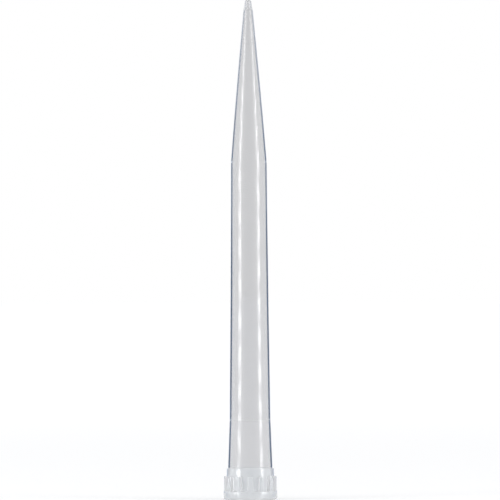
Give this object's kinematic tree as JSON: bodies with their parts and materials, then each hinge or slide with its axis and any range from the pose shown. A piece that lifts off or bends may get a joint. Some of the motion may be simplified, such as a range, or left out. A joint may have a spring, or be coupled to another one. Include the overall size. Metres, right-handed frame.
{
  "type": "pipette tip",
  "caption": "Long hollow tapered tip with a ribbed collar, pushed onto a hand pipette to draw up and dispense liquid through its point.",
  "frame": {"origin": "centre of the collar's end face, where the tip stands", "axes": "+Z along the tip's axis, from the mouth towards the point"},
  "size_m": [0.0162, 0.0162, 0.15],
  "materials": {
    "natural_polypropylene": "clear to slightly hazy, uncoloured, with the polish of the mould"
  },
  "bodies": {
    "root": {"pipette_tip": "natural_polypropylene"}
  },
  "joints": []
}
